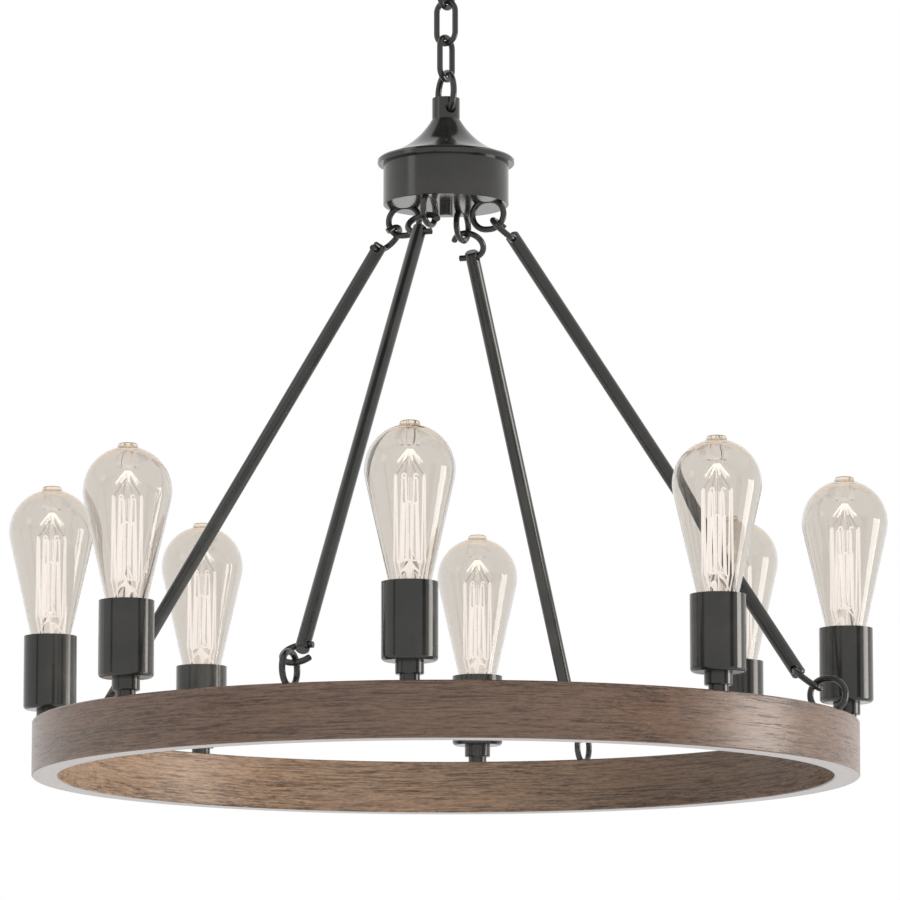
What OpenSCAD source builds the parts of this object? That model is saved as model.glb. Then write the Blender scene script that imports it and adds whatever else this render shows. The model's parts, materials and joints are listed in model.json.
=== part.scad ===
// Wagon wheel chandelier: a wooden wheel rim with eight lampholders, hung by four rods
// from a drum-shaped hub, on a short chain under a ceiling canopy.
// Z = 0 is the ceiling. Heights named *_h are counted up from the rim's top face.

/* [Wheel rim] */
// Outer diameter of the wooden rim
rim_d = 610; // [560:5:700]
// Radial thickness of the rim
rim_wall = 19; // [18:0.5:24]
// Height of the rim
rim_height = 40; // [36:1:50]
// Drop from the ceiling to the rim's top face
drop = 650; // [645:1:655]
// Width of the wiring channel in the rim's underside
channel_w = 11; // [9:0.5:12]
// Wood left above the wiring channel
channel_roof = 14; // [13:0.5:16]
// Thickness of the strip that closes the channel
cover_t = 3; // [2:0.5:4]

/* [Sockets and bulbs] */
// Number of lampholders round the rim
lamps = 8; // [8]
// Angle from a rod to the next lampholder
lamp_start = 16.6; // [14:0.5:20]
// Outer diameter of a socket cup
cup_d = 39.5; // [38:0.5:42]
// Height of a socket cup
cup_height = 55; // [50:1:60]
// Diameter of the collar under a cup
collar_d = 20; // [18:0.5:22]
// Height of the collar
collar_height = 9; // [8:0.5:10]
// Diameter of the stem that stands on the rim
stem_d = 14.2; // [13:0.1:16]
// Height of the stem between rim and collar
stem_height = 4.6; // [4:0.1:6]
// Largest diameter of a bulb
bulb_d = 63.4; // [60:0.1:66]
// Height of the bulb's widest point above the rim's top face
bulb_widest_h = 147; // [140:1:150]

/* [Hub] */
// Height of the hub's bottom plate
plate_h = 390.4; // [388:0.1:392]
// Diameter of the drum
drum_d = 94; // [90:1:96]
// Height of the underside of the flange
flange_h = 421.5; // [420:0.5:423]
// Diameter of the flange
flange_d = 102.5; // [100:0.5:106]
// Diameter of the neck
neck_d = 20.8; // [20:0.1:22]
// Height of the neck's top
neck_top_h = 472; // [470:0.5:473]
// Distance of the hub's loops from the axis
hub_loop_r = 33.8; // [33.6:0.1:34]

/* [Rods and hooks] */
// Diameter of a rod
rod_d = 10.5; // [10:0.1:11]
// Distance of a rod's upper hole from the axis
rod_top_r = 54.7; // [54.7:0.1:55]
// Height of a rod's upper hole
rod_top_h = 360.9; // [360.6:0.1:360.9]
// Distance of a rod's lower hole from the axis
rod_foot_r = 272; // [271.8:0.1:272]
// Height of a rod's lower hole
rod_foot_h = 29.4; // [29.4:0.1:29.6]
// Wire diameter of hooks and loops
wire_d = 4.6; // [4.4:0.1:4.6]
// Centre-line radius of a hook
hook_r = 11.4; // [11.35:0.05:11.45]

/* [Chain and ceiling fitting] */
// Wire diameter of a chain link
link_wire_d = 4.4; // [4.2:0.1:4.5]
// Outer length of a chain link
link_length = 36.8; // [36:0.1:38]
// Outer width of a chain link
link_width = 20.9; // [20:0.1:22]
// Direction of the plane of the second and fourth links
link_turn = 78; // [60:1:90]
// Diameter of the canopy
canopy_d = 130; // [120:1:140]
// Depth of the canopy
canopy_depth = 26; // [25:0.5:27]

/* [Hidden] */
$fn = 64;
metal = "#464644";
metal_dark = "#3a3a38";
steel = "#8f9294";
brass_tone = "#b49a5a";
wood_tone = "#7c6858";
porcelain = "#e8e4da";
glass_tone = "#e6dccb";
ground_green = "#3f7a4a";
fit = 0.05;                 // gap between parts that slide into one another
air = 0.3;                  // least gap between pieces that hang in each other
eps = 0.5;                  // how far a cutter runs past a face

// Rim
rim_r = rim_d / 2;
rim_mid_r = rim_r - rim_wall / 2;
rim_edge = 0.8;             // rounding of the rim's edges
channel_r_in = rim_mid_r - channel_w / 2;
channel_r_out = rim_mid_r + channel_w / 2;

// Loops: slightly oval wire rings. The hub's are let into its bottom plate and welded from
// inside, and the rim's stand on shanks in the wood
wire_r = wire_d / 2;
hub_loop_bend = 11.1;
rim_loop_bend = 11.7;
hub_loop_straight = 2.5;    // how much wider than high a ring is
rim_loop_straight = 3.2;
hub_loop_sink = 9.35;       // ring centre below the bottom plate
hub_loop_h = plate_h - hub_loop_sink;
rim_loop_rise = 10.7;       // ring centre above the rim's top face
shank_r = 1.9;
shank_depth = 11;           // shank's end below the rim's top face

// Rods: the two hole centres in a radial plane, distance and height
rod_r = rod_d / 2;
rod_run = rod_foot_r - rod_top_r;
rod_rise = rod_top_h - rod_foot_h;
rod_length = sqrt(rod_run * rod_run + rod_rise * rod_rise);
rod_lean = atan2(rod_run, rod_rise);
rod_end = 4.4;              // hole centre to the rod's flat end
rod_bevel = 1.1;
hole_d = 6.4;
hook_sag = 0.65;            // hole centre to the hook's straight leg
upper_leg = 10.2;           // straight leg past the hole centre
lower_leg = 7.6;
hook_open = 27;             // angle between the leg's side and the free end
hook_weld = 0.12;           // a low weld bead where the bend meets the leg
hook_weld_l = 1.2;
upper_tilt = atan2(hub_loop_h - rod_top_h, rod_top_r - hub_loop_r);
lower_tilt = atan2(rod_foot_h - rim_loop_rise, rim_mid_r - rod_foot_r);

// Socket stack, heights above the rim's top face
collar_h = stem_height;
cup_h = collar_h + collar_height;
cup_r = cup_d / 2;
cup_wall = 1.5;
cup_floor = 2;
cup_round = 3;
nipple_r = 5;
wire_bore_r = 3.25;
holder_h = cup_h + cup_floor;
holder_top_h = 52;
holder_r = 16.4;
base_r = 13.2;
base_bottom_h = 35.6;
base_top_h = 60.6;
shell_r = 14.3;
shell_wall = 0.7;
contact_h = base_bottom_h - air - 2;

// Bulb profile
bulb_r = bulb_d / 2;
bulb_slope = 12.7;          // half-angle of the bulb's cone
glass_t = 0.9;
button_r = 7.2;
button_round = 2.2;
button_top_h = bulb_widest_h + 34.3;

// Hub
plate_t = 3;
drum_wall = 1.5;
drum_bottom_h = plate_h + plate_t;
flange_t = 4.7;
flare_r = 62.5;             // radius of the hollow curve between flange and neck
flare_x = 64.6;
flare_h = 487.2;
flare_start_r = 46;
cap_wall = 3;
web_h = 437;
web_t = 6;
neck_bore_r = 7.8;
nipple_drop = 27;           // lower end of the ceiling nipple
boss_height = 17.7;
boss_floor = 5.7;           // solid metal under the boss's threaded hole
neck_foot_h = 456;          // where the flare meets the straight neck
web_hole_x = 5.6;           // hole in the web for the wires
web_hole_r = 1.9;
hub_nut_flats = 10;
hub_nut_t = 5;
ring_hole_d = 8.4;
ring_hole_h = 463.6;
tie_r = 3;
finial_r = 4.9;
finial_length = 7.8;

// Chain
link_r = link_wire_d / 2;
link_bend = (link_width - link_wire_d) / 2;
link_straight = link_length - link_width;
link_pitch = link_length - 2 * link_wire_d - air;
link_4_h = 484.6;           // lowest point of the bottom link
top_ring_r = 15.7;
top_ring_wire_r = 2.4;
top_ring_h = 476;
top_ring_turn = -47;

// Ceiling fitting
bar_length = 105;
bar_width = 24;
bar_t = 2.5;
slot_spacing = 79.5;
slot_length = 14.5;
slot_w = 5;
ceiling_nipple_r = 4.8;
loop_boss_r = 13.2;
loop_ring_r = 10;
loop_wire_r = 2.5;
canopy_wall = 1.2;
canopy_hole_r = 13.8;
canopy_flat_r = 20;         // flat seat round the canopy's hole
canopy_cone = 2;            // rise of the shallow cone
canopy_dome_r = 14;
canopy_ring_r = 19;
canopy_ring_t = 5;
ground_x = 19;
ground_y = 6;
ground_r = 2;
ground_head_r = 4;
ground_head_t = 2.5;
locknut_flats = 17;
locknut_t = 4;

// Height above the rim's top face, as a Z in this frame
function up(h) = h - drop;

// Heights of the ceiling loop, from the chain below it
link_1_top = link_4_h + 3 * link_pitch + link_length - link_r;
loop_ring_h = link_1_top - link_r - loop_wire_r - air + loop_ring_r;
loop_boss_h = loop_ring_h + loop_ring_r - 1;
canopy_h = drop - canopy_depth;

// Angle of lamp number i, counted from 0
function lamp_angle(i) = lamp_start + i * 360 / lamps;

// One solid at each lamp's place on the rim
module at_lamp(i) {
    rotate([0, 0, lamp_angle(i)])
        translate([rim_mid_r, 0, up(0)])
            children();
}

module at_lamps() {
    for (i = [0 : lamps - 1])
        at_lamp(i) children();
}

// Arc of round wire in the XY plane, from angle a over the angle sweep
module wire_arc(ring_r, r, a, sweep) {
    rotate([0, 0, a])
        rotate_extrude(angle = sweep)
            translate([ring_r, 0])
                circle(r = r);
}

module hexagon(flats, height) {
    cylinder(h = height, d = flats / cos(30), $fn = 6);
}

module tube(r_out, r_in, height) {
    difference() {
        cylinder(h = height, r = r_out);
        translate([0, 0, -eps]) cylinder(h = height + 2 * eps, r = r_in);
    }
}

// ---- Ceiling fitting ----

module crossbar() {
    color(steel)
        difference() {
            translate([-bar_length / 2, -bar_width / 2, -bar_t])
                cube([bar_length, bar_width, bar_t]);
            translate([0, 0, -bar_t - eps])
                cylinder(h = bar_t + 2 * eps, r = ceiling_nipple_r + fit);
            for (side = [-1, 1])
                translate([side * slot_spacing / 2, 0, -bar_t - eps])
                    crossbar_slot(bar_t + 2 * eps);
            translate([ground_x, ground_y, -bar_t - eps])
                cylinder(h = bar_t + 2 * eps, r = ground_r + fit);
        }
}

module crossbar_slot(height) {
    half = (slot_length - slot_w) / 2;
    translate([-half, -slot_w / 2, 0]) cube([2 * half, slot_w, height]);
    translate([-half, 0, 0]) cylinder(h = height, d = slot_w);
    translate([half, 0, 0]) cylinder(h = height, d = slot_w);
}

module ground_screw() {
    color(ground_green)
        translate([ground_x, ground_y, -bar_t - ground_head_t]) {
            difference() {
                cylinder(h = ground_head_t, r = ground_head_r);
                translate([-ground_head_r - eps, -0.6, -eps])
                    cube([2 * (ground_head_r + eps), 1.2, 1 + eps]);
            }
            cylinder(h = ground_head_t + bar_t, r = ground_r);
        }
}

module ceiling_nipple() {
    color(steel)
        translate([0, 0, -nipple_drop])
            tube(ceiling_nipple_r, 3.4, nipple_drop);
}

module nipple_locknut() {
    color(steel)
        translate([0, 0, -bar_t - locknut_t])
            difference() {
                hexagon(locknut_flats, locknut_t);
                translate([0, 0, -eps])
                    cylinder(h = locknut_t + 2 * eps, r = ceiling_nipple_r + fit);
            }
}

module ceiling_loop() {
    color(metal)
        translate([0, 0, up(loop_boss_h)]) {
            difference() {
                cylinder(h = boss_height, r = loop_boss_r);
                translate([0, 0, boss_floor])
                    cylinder(h = boss_height, r = ceiling_nipple_r + fit);
            }
            translate([0, 0, loop_ring_h - loop_boss_h])
                rotate([0, 0, link_turn])
                    rotate([90, 0, 0])
                        intersection() {
                            wire_arc(loop_ring_r, loop_wire_r, 0, 360);
                            translate([0, -loop_ring_r, 0])
                                cube(4 * loop_ring_r, center = true);
                        }
        }
}

module canopy() {
    color(metal)
        translate([0, 0, up(canopy_h)])
            rotate_extrude($fn = 96)
                difference() {
                    canopy_outline(0);
                    translate([0, canopy_wall]) canopy_outline(canopy_wall);
                    translate([-eps, -eps])
                        square([canopy_hole_r + eps, canopy_depth + 2 * eps]);
                }
}

// Half outline of the canopy: a shallow cone, a quarter round and a straight side
module canopy_outline(inset) {
    r = canopy_d / 2 - inset;
    side_h = canopy_cone + canopy_dome_r;
    translate([0, side_h]) square([r, canopy_depth - side_h]);
    intersection() {
        translate([r - canopy_dome_r, side_h]) circle(r = canopy_dome_r);
        square([r + 1, side_h]);
    }
    polygon([[0, 0], [canopy_flat_r, 0], [r - canopy_dome_r, canopy_cone],
        [r - canopy_dome_r, side_h + 1], [0, side_h + 1]]);
}

// Threaded ring on the loop's boss that holds the canopy up
module canopy_ring() {
    bore_r = loop_boss_r + fit;
    color(metal)
        translate([0, 0, up(canopy_h) - canopy_ring_t])
            rotate_extrude()
                polygon([[bore_r, 0], [canopy_ring_r - 2, 0], [canopy_ring_r, 2],
                    [canopy_ring_r, canopy_ring_t], [bore_r, canopy_ring_t]]);
}

// ---- Chain ----

// Closed wire ring of two half rings and two straights, its middle at the origin, upright
// in XZ and longer along Z
module oval_ring(bend, straight, r) {
    half = straight / 2;
    rotate([90, 0, 0])
        union() {
            translate([0, half, 0]) wire_arc(bend, r, 0, 180);
            translate([0, -half, 0]) wire_arc(bend, r, 180, 180);
            for (side = [-1, 1])
                translate([side * bend, half, 0])
                    rotate([90, 0, 0])
                        cylinder(h = straight, r = r);
        }
}

// Link number n, counted from the ceiling
module chain_link(n) {
    color(n % 2 == 0 ? metal : metal_dark)
        translate([0, 0, up(link_4_h + (4 - n) * link_pitch + link_length / 2)])
            rotate([0, 0, n % 2 == 0 ? link_turn : link_turn - 90])
                oval_ring(link_bend, link_straight, link_r);
}

module top_ring() {
    color(metal)
        translate([0, 0, up(top_ring_h)])
            rotate([0, 0, top_ring_turn])
                rotate([90, 0, 0])
                    wire_arc(top_ring_r, top_ring_wire_r, 0, 360);
}

// ---- Hub ----

// Cast cap: flange, hollow flare and neck, with a web inside that takes the tie rod
module hub_cap() {
    color(metal)
        difference() {
            translate([0, 0, up(0)])
                rotate_extrude($fn = 96)
                    difference() {
                        hub_cap_outside();
                        hub_cap_inside();
                    }
            translate([0, 0, up(web_h) - eps])
                cylinder(h = web_t + 2 * eps, r = tie_r + fit);
            translate([web_hole_x, 0, up(web_h) - eps])
                cylinder(h = web_t + 2 * eps, r = web_hole_r);
            translate([0, 0, up(ring_hole_h)])
                rotate([0, 0, top_ring_turn])
                    rotate([0, 90, 0])
                        cylinder(h = 2 * neck_d, d = ring_hole_d, center = true);
        }
}

module hub_cap_outside() {
    r = flange_d / 2;
    difference() {
        union() {
            translate([0, flange_h]) square([r, flange_t]);
            translate([0, flange_h]) square([flare_start_r, neck_top_h - flange_h]);
            translate([0, flange_h - 4]) square([drum_d / 2 - drum_wall - fit, 5]);
        }
        intersection() {
            translate([flare_x, flare_h]) circle(r = flare_r);
            translate([neck_d / 2, flange_h + flange_t]) square([60, 60]);
        }
        translate([neck_d / 2, neck_foot_h]) square([60, 60]);
        translate([r, flange_h])
            rotate(45)
                square(0.8, center = true);
        translate([r, flange_h + flange_t])
            rotate(45)
                square(2, center = true);
    }
}

module hub_cap_inside() {
    lip = drum_d / 2 - drum_wall - fit - 2;
    translate([-1, flange_h - 4 - eps]) square([lip + 1, 4 + eps + 2]);
    difference() {
        translate([-1, flange_h + 1]) square([lip + 1, web_h - flange_h - 1]);
        translate([flare_x, flare_h]) circle(r = flare_r + cap_wall);
    }
    translate([-1, web_h + web_t]) square([neck_bore_r + 1, 60]);
}

module hub_drum() {
    color(metal)
        translate([0, 0, up(drum_bottom_h)])
            tube(drum_d / 2, drum_d / 2 - drum_wall, flange_h - drum_bottom_h, $fn = 96);
}

module hub_base_plate() {
    r = drum_d / 2;
    color(metal)
        difference() {
            translate([0, 0, up(plate_h)])
                rotate_extrude($fn = 96)
                    polygon([[0, 0], [r - 0.5, 0], [r, 0.5], [r, plate_t],
                        [r - drum_wall - fit, plate_t], [r - drum_wall - fit, plate_t + 1.5],
                        [r - 4, plate_t + 1.5], [r - 4, plate_t], [0, plate_t]]);
            translate([0, 0, up(plate_h) - eps]) cylinder(h = plate_t + 2, r = tie_r + fit);
            hub_loop_set(wire_r + fit);
        }
}

module hub_tie_rod() {
    color(steel)
        translate([0, 0, up(plate_h - finial_length + 3)])
            cylinder(h = web_h + web_t - 0.5 - plate_h + finial_length - 3, r = tie_r);
}

module hub_nuts() {
    color(steel)
        for (h = [plate_h + plate_t, web_h - hub_nut_t])
            translate([0, 0, up(h)])
                difference() {
                    hexagon(hub_nut_flats, hub_nut_t);
                    translate([0, 0, -eps])
                        cylinder(h = hub_nut_t + 2 * eps, r = tie_r + fit);
                }
}

module hub_finial() {
    color(metal)
        translate([0, 0, up(plate_h - finial_length)])
            difference() {
                rotate_extrude()
                    polygon([[0, 0], [finial_r - 0.6, 0], [finial_r, 0.6],
                        [finial_r, finial_length], [0, finial_length]]);
                translate([0, 0, 2.5]) cylinder(h = finial_length, r = tie_r + fit);
            }
}

module hub_loop_set(r) {
    for (i = [0 : 3])
        rotate([0, 0, 90 * i])
            translate([hub_loop_r, 0, up(hub_loop_h)])
                rotate([0, 90, 0])
                    oval_ring(hub_loop_bend, hub_loop_straight, r);
}

module hub_loops() {
    color(metal) hub_loop_set(wire_r);
}

// ---- Rods and hooks ----

// Solid rod along Z with bevelled ends, its lower hole at the origin and both holes along Y
module rod_shape() {
    low = -rod_end;
    high = rod_length + rod_end;
    difference() {
        rotate_extrude()
            polygon([[0, low], [rod_r - rod_bevel, low], [rod_r, low + rod_bevel],
                [rod_r, high - rod_bevel], [rod_r - rod_bevel, high], [0, high]]);
        for (z = [0, rod_length])
            translate([0, 0, z])
                rotate([90, 0, 0])
                    cylinder(h = 2 * rod_d, d = hole_d, center = true);
    }
}

module rod(n) {
    color(metal)
        rotate([0, 0, 90 * (n - 1)])
            translate([rod_foot_r, 0, up(rod_foot_h)])
                rotate([0, -rod_lean, 0])
                    rod_shape();
}

// Open hook in XY: its straight leg runs along +X through the origin's level, and its ring
// reaches up +Y and round to a free end
module hook_shape(leg) {
    translate([0, hook_r, 0]) wire_arc(hook_r, wire_r, hook_open, 270 - hook_open);
    rotate([0, 90, 0]) cylinder(h = leg, r = wire_r);
    translate([-hook_weld_l / 2, 0, 0])
        rotate([0, 90, 0])
            cylinder(h = hook_weld_l, r = wire_r + hook_weld);
}

module upper_hook(n) {
    color(metal_dark)
        rotate([0, 0, 90 * (n - 1)])
            translate([rod_top_r, 0, up(rod_top_h)])
                rotate([0, upper_tilt, 0])
                    rotate([0, 0, 90])
                        translate([0, -hook_sag, 0])
                            hook_shape(upper_leg);
}

module lower_hook(n) {
    color(metal_dark)
        rotate([0, 0, 90 * (n - 1)])
            translate([rod_foot_r, 0, up(rod_foot_h)])
                rotate([0, 180 + lower_tilt, 0])
                    rotate([0, 0, 90])
                        translate([0, -hook_sag, 0])
                            hook_shape(lower_leg);
}

// ---- Wheel ----

module rim_outline() {
    e = rim_edge;
    r_in = rim_r - rim_wall;
    polygon([[r_in + e, 0], [rim_r - e, 0], [rim_r, -e], [rim_r, e - rim_height],
        [rim_r - e, -rim_height], [r_in + e, -rim_height], [r_in, e - rim_height], [r_in, -e]]);
}

module wheel_rim() {
    color(wood_tone)
        difference() {
            translate([0, 0, up(0)])
                rotate_extrude($fn = 180)
                    difference() {
                        rim_outline();
                        translate([channel_r_in, -rim_height - eps])
                            square([channel_w, rim_height - channel_roof + eps]);
                    }
            at_lamps()
                translate([0, 0, -channel_roof - eps])
                    cylinder(h = channel_roof + 2 * eps, r = nipple_r + fit);
            rim_loop_set(fit);
        }
}

module channel_cover() {
    color(wood_tone)
        translate([0, 0, up(-rim_height)])
            tube(channel_r_out - fit, channel_r_in + fit, cover_t, $fn = 180);
}

// Ring and shank at each rod's place, the wire grown by gap for the hole in the wood
module rim_loop_set(gap) {
    for (i = [0 : 3])
        rotate([0, 0, 90 * i])
            translate([rim_mid_r, 0, up(rim_loop_rise)]) {
                rotate([0, 90, 0])
                    oval_ring(rim_loop_bend, rim_loop_straight, wire_r + gap);
                translate([0, 0, -rim_loop_rise - shank_depth - gap])
                    cylinder(h = shank_depth, r = shank_r + gap);
            }
}

module rim_loops() {
    color(metal) rim_loop_set(0);
}

// ---- Sockets ----

// Turned stem: a threaded tube through the rim's roof, a shoulder on the rim, and a
// threaded tube up through the collar into the lampholder
module socket_stem() {
    below = channel_roof + 6;
    above = holder_h + 6;
    difference() {
        union() {
            translate([0, 0, -below]) cylinder(h = below + above, r = nipple_r);
            cylinder(h = stem_height, d = stem_d);
        }
        translate([0, 0, -below - eps]) cylinder(h = below + above + 2 * eps, r = wire_bore_r);
    }
}

module socket_stems() {
    color(metal) at_lamps() socket_stem();
}

module stem_nuts() {
    flats = 10.4;
    color(steel)
        at_lamps()
            translate([0, 0, -channel_roof - 4])
                difference() {
                    stem_nut_body(flats);
                    translate([0, 0, -eps]) cylinder(h = 4 + 2 * eps, r = nipple_r + fit);
                }
}

// Round nut with two flats that the channel's walls hold
module stem_nut_body(flats) {
    intersection() {
        cylinder(h = 4, r = 8);
        translate([-flats / 2 - 0.1, -10, 0]) cube([flats + 0.2, 20, 4]);
    }
}

module socket_collars() {
    bevel = 0.6;
    r = collar_d / 2;
    color(metal)
        at_lamps()
            translate([0, 0, collar_h])
                rotate_extrude()
                    polygon([[nipple_r + fit, 0], [r - bevel, 0], [r, bevel],
                        [r, collar_height], [nipple_r + fit, collar_height]]);
}

// Deep drawn cup with a rounded foot
module socket_cup() {
    rotate_extrude()
        difference() {
            cup_outline(cup_r, 0, cup_round);
            cup_outline(cup_r - cup_wall, cup_floor, cup_round - cup_wall);
            translate([-1, -eps]) square([nipple_r + fit + 1, cup_floor + 2 * eps]);
        }
}

module cup_outline(r, floor_z, round_r) {
    top = cup_height + (floor_z > 0 ? eps : 0);
    translate([0, floor_z + round_r]) square([r, top - floor_z - round_r]);
    translate([0, floor_z]) square([r - round_r, top - floor_z]);
    translate([r - round_r, floor_z + round_r]) circle(r = round_r);
}

module socket_cups() {
    color(metal) at_lamps() translate([0, 0, cup_h]) socket_cup();
}

// Insulating body inside the cup, open at the top for the bulb's base
module lampholders() {
    color(porcelain)
        at_lamps()
            difference() {
                translate([0, 0, holder_h]) cylinder(h = holder_top_h - holder_h, r = holder_r);
                translate([0, 0, contact_h - 2])
                    cylinder(h = holder_top_h, r = shell_r + fit);
                translate([0, 0, holder_h - eps])
                    cylinder(h = 6 + eps + 0.2, r = nipple_r + fit);
                translate([0, 0, holder_h]) cylinder(h = contact_h, r = wire_bore_r - 0.4);
            }
}

module screw_shells() {
    color(brass_tone)
        at_lamps()
            translate([0, 0, contact_h - 2])
                tube(shell_r, shell_r - shell_wall, holder_top_h - contact_h + 2);
}

module centre_contacts() {
    color(brass_tone)
        at_lamps()
            translate([0, 0, contact_h - 2]) {
                cylinder(h = 1, r = 8);
                cylinder(h = 4, r = 4);
            }
}

// ---- Bulbs ----

// Outline of the bulb's glass: ball top, straight cone down to the base and a seal button
module bulb_outline(inset) {
    r = bulb_r - inset;
    touch_r = r * cos(bulb_slope);
    touch_h = bulb_widest_h - r * sin(bulb_slope);
    foot_r = touch_r - (touch_h - base_top_h) * tan(bulb_slope);
    intersection() {
        translate([0, bulb_widest_h]) circle(r = r, $fn = 128);
        translate([0, bulb_widest_h - bulb_r]) square([bulb_r + 1, 2 * bulb_r]);
    }
    polygon([[0, base_top_h], [foot_r, base_top_h], [touch_r, touch_h],
        [0, touch_h]]);
}

module bulb_glass(i) {
    color(glass_tone, 0.4)
        at_lamp(i - 1)
            rotate_extrude($fn = 96)
                union() {
                    difference() {
                        bulb_outline(0);
                        difference() {
                            bulb_outline(glass_t);
                            translate([0, base_top_h]) square([bulb_r, glass_t]);
                        }
                    }
                    bulb_button();
                    bulb_mount();
                }
}

// Solid glass button where the bulb was sealed
module bulb_button() {
    low = bulb_widest_h + sqrt(bulb_r * bulb_r - button_r * button_r) - 0.5;
    corner_r = button_r - button_round;
    corner_h = button_top_h - button_round;
    translate([0, low]) square([button_r, corner_h - low]);
    translate([0, low]) square([corner_r, button_top_h - low]);
    translate([corner_r, corner_h]) circle(r = button_round);
}

// Flared glass stem inside the bulb that carries the filament
module bulb_mount() {
    polygon([[0, base_top_h], [9, base_top_h], [6, base_top_h + 6], [2.6, base_top_h + 18],
        [2.2, base_top_h + 74], [3, base_top_h + 76], [0, base_top_h + 77]]);
}

// Screw base: a brass shell with an insulator and a centre contact
module bulb_base(i) {
    color(brass_tone)
        at_lamp(i - 1)
            rotate_extrude()
                polygon([[0, base_bottom_h], [4, base_bottom_h], [4.6, base_bottom_h + 1.2],
                    [base_r - 1.6, base_bottom_h + 5], [base_r, base_bottom_h + 6.5],
                    [base_r, base_top_h], [0, base_top_h]]);
}

crossbar();
ground_screw();
ceiling_nipple();
nipple_locknut();
ceiling_loop();
canopy();
canopy_ring();
for (n = [1 : 4])
    chain_link(n);
top_ring();
hub_cap();
hub_drum();
hub_base_plate();
hub_tie_rod();
hub_nuts();
hub_finial();
hub_loops();
for (n = [1 : 4])
    rod(n);
for (n = [1 : 4])
    upper_hook(n);
for (n = [1 : 4])
    lower_hook(n);
wheel_rim();
channel_cover();
rim_loops();
socket_stems();
stem_nuts();
socket_collars();
socket_cups();
lampholders();
screw_shells();
centre_contacts();
for (n = [1 : lamps])
    bulb_glass(n);
for (n = [1 : lamps])
    bulb_base(n);
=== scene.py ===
"""Finish of a wagon wheel chandelier: bronze fittings, a walnut rim and clear filament bulbs."""

import json
import math

import bpy
from bpy.props import FloatProperty, FloatVectorProperty, IntProperty, PointerProperty
from mathutils import Matrix, Vector


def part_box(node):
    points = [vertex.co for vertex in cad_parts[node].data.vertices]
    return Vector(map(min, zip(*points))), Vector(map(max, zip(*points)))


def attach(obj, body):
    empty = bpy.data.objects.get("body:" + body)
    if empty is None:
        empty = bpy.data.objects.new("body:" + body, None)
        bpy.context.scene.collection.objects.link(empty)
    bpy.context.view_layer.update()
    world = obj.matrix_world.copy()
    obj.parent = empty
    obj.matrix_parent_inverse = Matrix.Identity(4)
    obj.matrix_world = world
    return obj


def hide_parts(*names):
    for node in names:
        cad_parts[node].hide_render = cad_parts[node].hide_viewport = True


bl_info = {
    "name": "Wagon Wheel Chandelier",
    "version": (1, 0, 0),
    "blender": (4, 5, 0),
    "location": "View3D > Sidebar > Chandelier",
    "description": "Finishes the fittings, rim and bulbs of a wagon wheel chandelier",
    "category": "Object",
}

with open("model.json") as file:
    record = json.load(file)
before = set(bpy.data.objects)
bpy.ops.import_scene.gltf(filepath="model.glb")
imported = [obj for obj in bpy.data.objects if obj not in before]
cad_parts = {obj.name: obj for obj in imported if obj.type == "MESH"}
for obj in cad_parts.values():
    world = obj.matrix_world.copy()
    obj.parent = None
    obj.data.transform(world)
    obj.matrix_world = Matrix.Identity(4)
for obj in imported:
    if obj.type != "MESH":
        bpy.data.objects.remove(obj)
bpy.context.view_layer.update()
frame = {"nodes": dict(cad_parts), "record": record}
LAMPS = range(1, 9)
RIM_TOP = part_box("wheel_rim")[1].z
RIM_HALF_WALL = 0.0095
RIM_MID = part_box("wheel_rim")[1].x - RIM_HALF_WALL
BULB_WIDEST = RIM_TOP + 0.147
BUTTON_R = 0.0072
BUTTON_FOOT = RIM_TOP + 0.1755
FLOOR_HALF = 9.0
CARD_GREY = 0.02
CEILING_CARD_HALF = 0.80
CEILING_CARD_Z = 1.4
FLAG_DISTANCE = 2.5
FLAG_LOW = -1.2
FLAG_HIGH = -0.05


# ---- Settings that a user may change ----


def colour(name, description, default):
    return FloatVectorProperty(
        name=name, description=description, subtype="COLOR", size=3, min=0, max=1, default=default
    )


def length(name, description, default):
    return FloatProperty(name=name, description=description, default=default, min=0, unit="LENGTH")


def number(name, description, default):
    return FloatProperty(name=name, description=description, default=default, min=0)


class MetalSettings(bpy.types.PropertyGroup):
    bronze: colour("Bronze", "Dark bronze paint of the fittings", (0.024, 0.024, 0.022))
    bronze_rubbed: colour("Rubbed bronze", "Where the paint is thin", (0.040, 0.037, 0.032))
    gloss: number("Roughness", "Roughness of the bronze paint", 0.15)
    cloud: length("Cloud size", "Size of the paint's faint clouds", 0.030)
    grain: length("Spray grain", "Size of the paint's fine spray grain", 0.0008)
    grain_depth: length("Grain depth", "Height of the spray grain", 0.000022)


class WoodSettings(bpy.types.PropertyGroup):
    heart: colour("Heartwood", "Main colour of the wood", (0.150, 0.086, 0.056))
    light: colour("Light bands", "Colour of the light growth bands", (0.310, 0.195, 0.135))
    dark: colour("Dark bands", "Colour of the dark growth bands", (0.062, 0.033, 0.021))
    pore: colour("Pores", "Colour of the open pores", (0.020, 0.010, 0.006))
    band: length("Band height", "Height of one growth band", 0.0070)
    stretch: number("Stretch", "How much longer than high the figure is", 14.0)
    # Inner face: painted light, a tint standing in for the different light that falls on the rim's inner
    # face.
    inner: colour("Inner face", "Tint of the inner face", (0.95, 1.0, 0.97))
    gloss: number("Roughness", "Roughness of the wood's satin varnish", 0.27)
    planed: number("Planed roughness", "Roughness of the planed underside", 0.17)


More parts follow.
